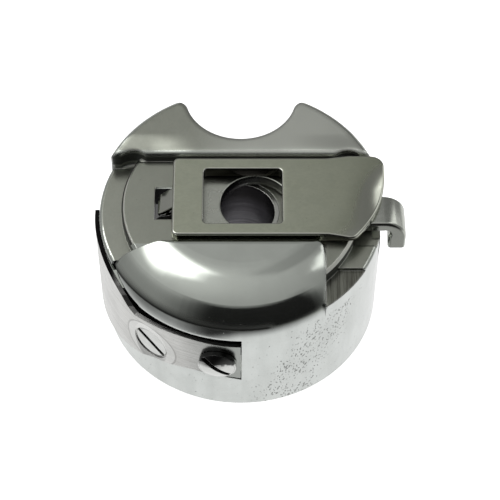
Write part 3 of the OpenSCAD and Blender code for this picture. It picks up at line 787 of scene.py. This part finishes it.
def case_finish():
    """The case: polished outside, satin on its flats, painted shade in the spring's groove, in its small
    holes, on the rear land's step, by the disc's wall and inside the chamber, painted highlights on its
    chamfer and rounded edges, a painted sheen on the rear land, pits on the right of the front, milling
    marks along Y on the low flat."""
    f = Finish("case_steel")
    t = f.tree
    front = fall(t, f.y, REAR_LAND_Y - 0.05, REAR_LAND_Y + 0.05)
    rear = product(t, rest_of(t, front), ramp(t, f.z, 9.6, 10.6))
    right_rim = product(t, ramp(t, f.x, 6.4, 6.8), ramp(t, f.r, 9.9, 10.1), fall(t, f.y, -1.0, 0.0))
    dome_side = product(t, between(t, f.x, DOME_X - 0.59, DOME_X + 0.03, 0.1), ramp(t, f.y, -4.6, -5.0),
                        ramp(t, f.z, 9.5, 10.0))
    # Widths over which edges are rounded in shading
    edge_width = total(t, 0.09 * MM, product(t, rear, 0.46 * MM), product(t, right_rim, 0.13 * MM),
                 product(t, dome_side, 0.36 * MM))
    edge = f.add(ROUNDED_EDGE, Width=edge_width)
    level = ramp(t, f.up, 0.97, 0.995)
    dome = product(t, fall(t, f.y, DOME_Y, DOME_Y + 0.1), ramp(t, f.z, LEDGE_Z + 0.4, LEDGE_Z + 0.6),
                   fall(t, f.x, DOME_X - 0.09, DOME_X + 0.21))
    satin = product(t, level, rest_of(t, dome))
    steep = fall(t, f.up, 0.3, 0.6)
    groove = product(t, between(t, f.r, CHAMBER_R + 0.12, CASE_R - 0.2, 0.06), steep, ramp(t, f.z, 6.5, 7.0),
                     fall(t, f.y, 0.0, 1.5), fall(t, f.x, 2.0, 3.0))
    trough = product(t, between(t, f.r, CHAMBER_R + 0.12, CASE_R - 0.05, 0.02),
                     between(t, f.z, 7.5, 9.3, 0.03), fall(t, f.x, 0.3, 0.5), fall(t, f.y, 0.0, 1.5))
    groove = larger(t, groove, trough)
    step = product(t, steep, ramp(t, f.z, LEDGE_Z - 0.1, LEDGE_Z), ramp(t, f.y, 3.0, 3.4),
                   fall(t, f.y, 5.4, 5.8), ramp(t, f.z, 12.9, 12.6),
                   fall(t, f.r, CASE_R - 0.15, CASE_R - 0.05))
    foot = product(t, ramp(t, f.x, -7.2, -7.8), ramp(t, f.z, 11.85, 11.5))
    step = product(t, step, rest_of(t, product(t, foot, 0.7)))
    chamfer = product(t, between(t, f.r, DISC_R - 0.23, DISC_R + 0.03, 0.04),
                      between(t, f.z, DISC_Z - 0.25, DISC_Z - 0.01, 0.01), rest_of(t, dome), front)
    left_chamfer = product(t, chamfer, fall(t, f.x, -2.0, 0.0), ramp(t, f.z, DISC_Z - 0.08, DISC_Z - 0.12))
    disc_wall = product(t, between(t, f.z, LEDGE_Z - 0.4, DISC_Z - 0.26, 0.03),
                        between(t, f.r, DISC_R - 0.15, DISC_R + 0.10, 0.05), steep, front)
    # Painted shade inside the chamber
    bore = product(t, fall(t, f.r, CHAMBER_R + 0.02, CHAMBER_R + 0.08), fall(t, f.z, 9.0, 9.4))
    milled = product(t, fall(t, f.z, LEDGE_Z - 0.15, LEDGE_Z - 0.05), level,
                     ramp(t, f.x, DOME_X - 0.19, DOME_X - 0.09), ramp(t, f.y, -5.0, -5.3))
    hole = product(t, fall(t, f.z, DISC_Z - 0.25, DISC_Z - 0.12), fall(t, f.x, -5.0, -4.8),
                   between(t, f.y, -2.2, 2.2, 0.1), fall(t, f.r, 7.6, 7.8), ramp(t, f.z, 9.75, 9.85))
    # Painted shade: black in the spring's groove, the tongue's hole, the rear land's step, by the disc's
    # wall and on the left of its chamfer
    dark = larger(t, larger(t, groove, hole), product(t, total(t, step, disc_wall, left_chamfer), 0.85))
    wall = product(t, ramp(t, f.r, CASE_R - 0.25, CASE_R - 0.1), steep)
    outside = product(t, fall(t, f.y, -3.5, -2.0), fall(t, f.z, 9.4, 9.9),
                      ramp(t, f.r, CASE_R - 0.1, CASE_R - 0.05))
    slant = less(t, f.x, product(t, f.z, 0.4))
    patch = product(t, ramp(t, noise(t, f.place, 0.55, 2.0), 0.25, 0.50), between(t, slant, 1.9, 4.7, 2.0))
    fleck = noise(t, stretched(t, f.place, (1.0, 1.0, 0.65)), 6.0, 1.0, 0.4)
    fleck = less(t, fleck, product(t, rest_of(t, patch), 0.14))
    pits = product(t, ramp(t, fleck, 0.59, 0.68), outside)
    specks = f.add(PITS, Place=f.place, Scale=4.5, Share=0.03, Size=0.13)["Pit"]
    pitted = larger(t, pits, product(t, specks, rest_of(t, dome)))
    streak = noise(t, stretched(t, f.place, (1.0, 1.0, 0.25)), 0.7, 2.0, 0.5)
    marks = f.add(BRUSH, Place=stretched(t, f.place, (9.0, 0.35, 1.0)), Scale=1.0)["Line"]
    grain = f.add(BRUSH, Place=stretched(t, f.place, (1.0, 0.6, 1.0)), Scale=6.0)["Line"]
    cloud = f.add(SMUDGE, Place=f.place, Scale=0.35)["Cloud"]
    colour = blend_colours(t, wall, POLISHED, WALL)
    colour = blend_colours(t, product(t, wall, ramp(t, streak, 0.35, 0.7, 0.0, 0.22)), colour, WALL_STREAK)
    colour = blend_colours(t, satin, colour, OLIVE)
    colour = blend_colours(t, product(t, satin, ramp(t, grain, 0.3, 0.7, 0.0, 0.3)), colour, OLIVE_DIM)
    disc = product(t, satin, ramp(t, f.z, DISC_Z - 0.15, DISC_Z - 0.05), front)
    colour = blend_colours(t, product(t, disc, 0.35), colour, OLIVE_DIM)
    colour = blend_colours(t, product(t, cloud, 0.12), colour, HANDLED)
    mill_lines = product(t, milled, ramp(t, marks, 0.38, 0.62, 0.45, 0.95))
    colour = blend_colours(t, mill_lines, colour, MILLED_DARK)
    colour = blend_colours(t, product(t, pitted, 0.52), colour, PIT_DARK)
    # Painted sheen: the rear land grows lighter from its left towards the right
    colour = blend_colours(t, product(t, rear, ramp(t, f.x, -5.0, 1.0, 0.0, 0.85)), colour, LAND_SHEEN)
    # Painted highlight along the rounded edges
    colour = blend_colours(t, product(t, edge["Edge"], 0.35), colour, EDGE_HIGHLIGHT)
    # Painted highlight: the disc's chamfer is made near white
    colour = blend_colours(t, chamfer, colour, CHAMFER_HIGHLIGHT)
    colour = blend_colours(t, bore, colour, CHAMBER_SHADE)
    colour = blend_colours(t, dark, colour, SHADE_BLACK)
    rough = total(t, 0.085, product(t, satin, 0.20), product(t, cloud, 0.04), product(t, dark, 0.5),
                  product(t, pitted, 0.2), product(t, bore, 0.2), product(t, chamfer, 0.3),
                  product(t, wall, ramp(t, grain, 0.3, 0.7, 0.0, 0.05)))
    sway = product(t, rear, fall(t, f.y, 4.7, 6.6),
                   total(t, ramp(t, f.x, -3.6, -7.6), product(t, ramp(t, f.x, 3.0, 8.0), -0.6)))
    height = total(t, product(t, pitted, -1.0), product(t, satin, grain, 0.1),
                   product(t, milled, marks, 0.35), product(t, sway, -9.5))
    return f.set(colour, rough, height, edge["Normal"], 0.03)


def slide_finish():
    """The slide: satin plate, with painted shade where it lies in the latch's window, on its steep walls,
    its underside and its front faces, polished finger.
    """
    f = Finish("slide_steel")
    t = f.tree
    grain = f.add(BRUSH, Place=stretched(t, f.place, (0.5, 1.0, 1.0)), Scale=5.0)["Line"]
    cloud = f.add(SMUDGE, Place=f.place, Scale=0.6)["Cloud"]
    specks = f.add(PITS, Place=f.place, Scale=3.2, Share=0.05, Size=0.15)["Pit"]
    plate = fall(t, f.x, 8.6, 8.8)
    level = ramp(t, f.up, 0.93, 0.99)
    # Painted shade over the plate's far and right part, seen through the latch's window
    shade = product(t, plate, ramp(t, total(t, f.y, product(t, f.x, 0.316)), 1.4, 2.2), level)
    # Painted shade on the plate's steep walls and, below, on the underside
    wall = product(t, plate, rest_of(t, level), ramp(t, f.up, 0.3, 0.1))
    under = fall(t, f.up, -0.3, 0.0)
    colour = blend_colours(t, plate, SLIDE_FINGER, SLIDE_PLATE)
    colour = blend_colours(t, ramp(t, grain, 0.3, 0.7, 0.0, 0.3), colour, SLIDE_DIM)
    colour = blend_colours(t, product(t, cloud, 0.15), colour, SLIDE_DIM)
    colour = blend_colours(t, product(t, shade, 0.8), colour, SLIDE_SHADE)
    colour = blend_colours(t, product(t, wall, 0.95), colour, SLIDE_WALL_SHADE)
    colour = blend_colours(t, product(t, under, 0.9), colour, SLIDE_UNDERSIDE_SHADE)
    # Painted shade on faces that look to the front
    front_shade = ramp(t, parts_of(t, f.normal)[1], -0.75, -0.95)
    colour = blend_colours(t, product(t, front_shade, 0.75), colour, SLIDE_FRONT_SHADE)
    colour = blend_colours(t, product(t, specks, 0.5), colour, PIT_DARK)
    rough = total(t, 0.17, product(t, plate, 0.08), product(t, cloud, 0.04))
    height = total(t, product(t, grain, 0.12), product(t, specks, -0.8))
    return f.set(colour, rough, height, None, 0.015)


def lever_finish():
    """The latch lever: satin top, polished where it rolls down to its free end, specks by its edges, and
    painted shade towards its free end, on its window's walls, on its near side and where its tongue lies in
    its hole.
    """
    f = Finish("lever_steel")
    t = f.tree
    level = ramp(t, f.up, 0.985, 0.998)
    grain = f.add(BRUSH, Place=stretched(t, f.place, (0.7, 1.0, 1.0)), Scale=5.5)["Line"]
    cloud = f.add(SMUDGE, Place=f.place, Scale=0.5)["Cloud"]
    rim = fall(t, f.up, 0.5, 0.9)
    near = product(t, fall(t, f.y, -3.3, -3.0), ramp(t, f.x, 5.5, 6.5))
    by_end = product(t, rim, ramp(t, f.x, 7.0, 8.5))
    share = total(t, 0.04, product(t, larger(t, near, by_end), 0.4))
    specks = f.add(PITS, Place=f.place, Scale=4.0, Share=share, Size=0.17)["Pit"]
    colour = blend_colours(t, level, LEVER_ROLL_STEEL, LEVER_TOP_STEEL)
    colour = blend_colours(t, product(t, level, ramp(t, grain, 0.3, 0.7, 0.0, 0.4)), colour, LEVER_GRAIN_AND_SHADE)
    # Painted shade: darker towards the free end
    colour = blend_colours(t, ramp(t, f.x, 3.0, 11.0, 0.0, 0.4), colour, LEVER_GRAIN_AND_SHADE)
    colour = blend_colours(t, product(t, cloud, 0.15), colour, LEVER_HANDLED)
    # Painted shade on the window's walls
    window = product(t, between(t, f.x, WINDOW[0] - 0.1, WINDOW[1] + 0.1, 0.02),
                     between(t, f.y, -2.85, 2.85, 0.02), fall(t, f.up, 0.25, 0.5))
    colour = blend_colours(t, product(t, window, 0.92), colour, LEVER_WINDOW_SHADE)
    # Painted shade on the side that faces the front
    side = product(t, ramp(t, parts_of(t, f.normal)[1], -0.6, -0.9), ramp(t, f.up, 0.35, 0.15))
    colour = blend_colours(t, product(t, side, 0.8), colour, LEVER_SIDE_SHADE)
    # Painted shade on the tongue where it lies in its hole
    hole_shade = product(t, ramp(t, f.x, -5.3, -5.6), ramp(t, f.z, 12.5, 12.3), ramp(t, f.up, 0.35, 0.15))
    colour = blend_colours(t, product(t, hole_shade, 0.97), colour, SHADE_BLACK)
    colour = blend_colours(t, product(t, specks, 0.65), colour, PIT_DARK)
    rough = total(t, 0.13, product(t, level, 0.15), product(t, cloud, 0.04), product(t, specks, 0.15))
    height = total(t, product(t, level, grain, 0.2), product(t, specks, -1.0))
    return f.set(colour, rough, height, None, 0.015)


def tube_finish():
    """The middle tube: satin rim, a painted highlight on its edges, and a bore in painted shade, darkest
    towards its top, with turning marks round it and a purplish cast.
    """
    f = Finish("tube_steel")
    t = f.tree
    edge = f.edges(0.08)
    rings = f.add(BRUSH, Place=stretched(t, f.place, (0.12, 0.12, 4.0)), Scale=2.4)["Line"]
    level = ramp(t, f.up, 0.9, 0.99)
    inside = product(t, rest_of(t, level), fall(t, f.r, 2.85, 2.95))
    # Painted shade in the bore, with turning marks, darkest towards its top
    colour = blend_colours(t, ramp(t, rings, 0.3, 0.7), BORE_SHADE_LIGHT, BORE_SHADE_DIM)
    colour = blend_colours(t, ramp(t, f.z, 8.6, 9.8), colour, BORE_TOP_SHADE)
    colour = blend_colours(t, inside, TUBE_RIM, colour)
    # Painted highlight along the rounded edges
    colour = blend_colours(t, product(t, edge["Edge"], 0.5), colour, EDGE_HIGHLIGHT)
    rough = total(t, 0.2, product(t, inside, 0.06))
    return f.set(colour, rough, product(t, inside, rings), edge["Normal"], 0.012)


def screw_place(f, screw):
    """Places about a screw's axis: how far out along it, how far off it, and how high above it."""
    t = f.tree
    turn = math.radians(screw[0])
    axis = (-math.sin(turn), -math.cos(turn), 0.0)
    across = (math.cos(turn), -math.sin(turn), 0.0)
    out = less(t, dot(t, f.place, axis), LEAF_X * axis[0])
    aside = less(t, dot(t, f.place, across), LEAF_X * across[0])
    high = less(t, f.z, screw[1])
    off_axis = math_node(t, "SQRT", total(t, product(t, aside, aside), product(t, high, high)))
    return out, off_axis, high


def leaf_finish():
    """The tension spring: brushed along its length, with painted shade on its upper edge, a painted sheen
    and a painted shade line round the tension screw's dish, a painted highlight on its edges, and darker
    towards its right end.
    """
    f = Finish("leaf_steel")
    t = f.tree
    edge = f.edges(0.05)
    line = f.add(BRUSH, Place=stretched(t, f.place, (0.12, 0.12, 5.0)), Scale=3.0)["Line"]
    cloud = f.add(SMUDGE, Place=f.place, Scale=0.4)["Cloud"]
    specks = f.add(PITS, Place=f.place, Scale=3.0, Share=0.10, Size=0.13)["Pit"]
    # Painted shade on the spring's upper edge
    upper = product(t, ramp(t, f.up, 0.35, 0.6), ramp(t, f.x, -10.4, -9.6, 1.0, 0.45))
    _, off_axis, _ = screw_place(f, TENSION_SCREW)
    # Painted sheen on the dish round the tension screw, and a painted shade line at its rim
    ring = between(t, off_axis, *DISH, 0.06)
    dish_shade_line = between(t, off_axis, *DISH_LINE, 0.08)
    right_end = ramp(t, f.x, -5.0, -0.6)
    colour = blend_colours(t, ramp(t, line, 0.3, 0.7), LEAF_BRIGHT, LEAF_DIM)
    colour = blend_colours(t, product(t, cloud, 0.2), colour, LEAF_HANDLED)
    colour = blend_colours(t, product(t, specks, 0.6), colour, PIT_DARK)
    colour = blend_colours(t, product(t, right_end, 0.8), colour, LEAF_RIGHT)
    colour = blend_colours(t, product(t, ring, 0.45), colour, DISH_SHEEN)
    colour = blend_colours(t, product(t, dish_shade_line, 0.45), colour, DISH_SHADE)
    # Painted highlight along the rounded edges
    colour = blend_colours(t, product(t, edge["Edge"], 0.4), colour, RIM_HIGHLIGHT)
    colour = blend_colours(t, upper, colour, SHADE_BLACK)
    rough = total(t, 0.2, product(t, cloud, 0.05), product(t, upper, 0.4))
    height = total(t, product(t, line, 0.5), product(t, specks, -1.0))
    return f.set(colour, rough, height, edge["Normal"], 0.012)


def screw_finish(name, screw, slot_out, shade):
    """A screw's head: polished, with painted shade in its slot as far out along the axis as slot_out and, by
    a share, over its upper half, and a painted highlight on its edges."""
    f = Finish(name)
    t = f.tree
    edge = f.edges(0.07)
    out, off_axis, high = screw_place(f, screw)
    slot = product(t, fall(t, off_axis, SLOT_REACH, SLOT_REACH + 0.06),
                   fall(t, out, slot_out - 0.06, slot_out))
    cloud = f.add(SMUDGE, Place=f.place, Scale=1.2)["Cloud"]
    fine = f.add(BRUSH, Place=stretched(t, f.place, (1.0, 1.0, 2.5)), Scale=5.0)["Line"]
    # Painted shade in the slot and, by a share, over the head's upper half
    ragged = total(t, high, product(t, noise(t, f.place, 2.2, 2.0), 0.9))
    upper = product(t, ramp(t, ragged, 0.90, 1.10), shade)
    dark = larger(t, slot, upper)
    colour = blend_colours(t, product(t, cloud, 0.2), SCREW_STEEL, SCREW_DIM)
    # Painted highlight along the rounded edges
    colour = blend_colours(t, product(t, edge["Edge"], 0.4), colour, RIM_HIGHLIGHT)
    colour = blend_colours(t, dark, colour, SHADE_BLACK)
    rough = total(t, 0.14, product(t, cloud, 0.05), product(t, slot, 0.4))
    return f.set(colour, rough, product(t, fine, 0.4), edge["Normal"], 0.01)


def wire_finish(name, colour, rough):
    """Drawn wire: one colour with faint lines."""
    f = Finish(name)
    t = f.tree
    line = f.add(BRUSH, Place=stretched(t, f.place, (0.6, 3.0, 3.0)), Scale=4.0)["Line"]
    dim = tuple(0.6 * c for c in colour[:3]) + (1,)
    return f.set(blend_colours(t, ramp(t, line, 0.3, 0.7, 0.0, 0.6), colour, dim), rough)


finishes = {
    "case_body": case_finish(),
    "center_tube": tube_finish(),
    "hinge_pin": wire_finish("pin_steel", HINGE_PIN, 0.2),
    "stop_pin": wire_finish("stop_pin_steel", STOP_PIN, 0.25),
    "tension_spring": leaf_finish(),
    "tension_screw": screw_finish("tension_screw_steel", TENSION_SCREW, TENSION_SLOT_FLOOR + 0.30, 0.0),
    "fixing_screw": screw_finish("fixing_screw_steel", FIXING_SCREW, FIXING_SLOT_FLOOR + 0.12, 0.9),
}
for name, material in finishes.items():
    nodes[name].data.materials.clear()
    nodes[name].data.materials.append(material)

make_piece("lever_rounded", [lever_plate(), lever_tongue()], lever_finish(), "lever",
           "latch_lever")
make_piece("slide_rounded", slide_skins(), slide_finish(), "slide", "latch_slide")
coil = make_piece("coil_wire", [coil_skin()], wire_finish("wire_steel", COIL_STEEL, 0.2), "case",
                  "slide_spring")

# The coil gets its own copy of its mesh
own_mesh(coil)


# Studio: white floor and backdrop, a soft box behind on the left, three strips behind on the right, and a
# dark flag in front of the case

def studio_world():
    """A room given by direction: sky, soft box, strips and a glow above, pale ground below, dark flag in
    front. Shiny faces see it; the camera sees white; everything else gets even light. turn is the angle
    round from the front, in degrees to the right, and rise the angle up from level."""
    world = bpy.data.worlds.new("studio")
    scene.world = world
    world.use_nodes = True
    t = world.node_tree
    t.nodes.clear()
    way = t.nodes.new("ShaderNodeTexCoord").outputs["Generated"]
    x, y, z = parts_of(t, way)
    turn = product(t, math_node(t, "ARCTAN2", x, product(t, y, -1.0)), 180 / math.pi)
    rise = product(t, math_node(t, "ARCSINE", z), 180 / math.pi)

    def lobe(azimuth, elevation, tight):
        """cos(angle from a direction) to a power: a round glow about that direction."""
        a, e = math.radians(azimuth), math.radians(elevation)
        along = dot(t, way, (math.sin(a) * math.cos(e), -math.cos(a) * math.cos(e), math.sin(e)))
        return math_node(t, "POWER", larger(t, along, 0.0), tight)

    def panel(turns, rises, turn_edge, rise_edge):
        """1 inside a patch between two turns and two rises, with soft edges."""
        return product(t, between(t, turn, *turns, turn_edge), between(t, rise, *rises, rise_edge))

    behind = product(t, ramp(t, turn, 128.0, 142.0), fall(t, turn, 164.0, 178.0), fall(t, rise, 72.0, 80.0))
    sky = product(t, ramp(t, rise, 20.0, 90.0, 0.30, 0.46), rest_of(t, product(t, behind, 0.35)))
    soft_box = product(t, ramp(t, turn, -166.0, -146.0), fall(t, turn, -112.0, -80.0),
                       ramp(t, rise, 45.0, 56.0), fall(t, rise, 69.0, 79.0))
    strip = panel((118.0, 130.0), (22.0, 42.0), 4.0, 8.0)
    low_strip = panel((112.0, 124.0), (-8.0, 18.0), 5.0, 6.0)
    high_strip = panel((100.0, 122.0), (46.0, 60.0), 6.0, 5.0)
    glow = total(t, product(t, soft_box, 2.2), product(t, lobe(-112, 60, 8.0), 0.4), product(t, strip, 1.15),
                 product(t, low_strip, 0.45), product(t, high_strip, 1.1))
    ground = total(t, 0.95, product(t, lobe(-70, -25, 6.0), -0.72))
    down = fall(t, rise, -26.0, -8.0)
    lit = total(t, product(t, total(t, sky, glow), rest_of(t, down)), product(t, ground, down))
    lean = total(t, math_node(t, "MINIMUM", turn, 0.0), product(t, larger(t, turn, 0.0), 0.2),
                 product(t, math_node(t, "MINIMUM", rise, 0.0), -0.85))
    flag = product(t, ramp(t, turn, -66.0, -20.0), fall(t, turn, 50.0, 72.0),
                   fall(t, lean, 10.0, 46.0), fall(t, rise, 50.0, 60.0))
    lit = product(t, lit, rest_of(t, product(t, flag, 0.96)))
    near = fall(t, rise, -57.0, -50.0)
    lit = total(t, product(t, lit, rest_of(t, near)), product(t, near, 0.95))
    path = t.nodes.new("ShaderNodeLightPath").outputs
    seen = blend_colours(t, path["Is Glossy Ray"], (0.7, 0.7, 0.7, 1), lit)
    shown = blend_colours(t, path["Is Camera Ray"], seen, (1, 1, 1, 1))
    back = t.nodes.new("ShaderNodeBackground")
    put(t, back.inputs["Color"], shown)
    put(t, t.nodes.new("ShaderNodeOutputWorld").inputs[0], back.outputs[0])


studio_world()


def white_paper():
    """White paper, with a painted shadow where the case stands on it."""
    paper = bpy.data.materials.new("white_paper")
    paper.use_nodes = True
    t = paper.node_tree
    shader = t.nodes["Principled BSDF"].inputs
    place = t.nodes.new("ShaderNodeTexCoord").outputs["Object"]
    clear_of_case = ramp(t, math_node(t, "SQRT", dot(t, place, place)), CLEAR_FROM * MM, CLEAR_TO * MM)
    shader["Emission Color"].default_value = (1, 1, 1, 1)
    put(t, shader["Emission Strength"], product(t, clear_of_case, 0.8))
    put(t, shader["Base Color"], blend_colours(t, clear_of_case, (0.01, 0.01, 0.01, 1), (0.9, 0.9, 0.9, 1)))
    return paper


bpy.ops.mesh.primitive_plane_add(size=4, location=(0, 0, 0))
floor = bpy.context.object
floor.name = "floor"
floor.data.materials.append(white_paper())
floor.visible_glossy = False
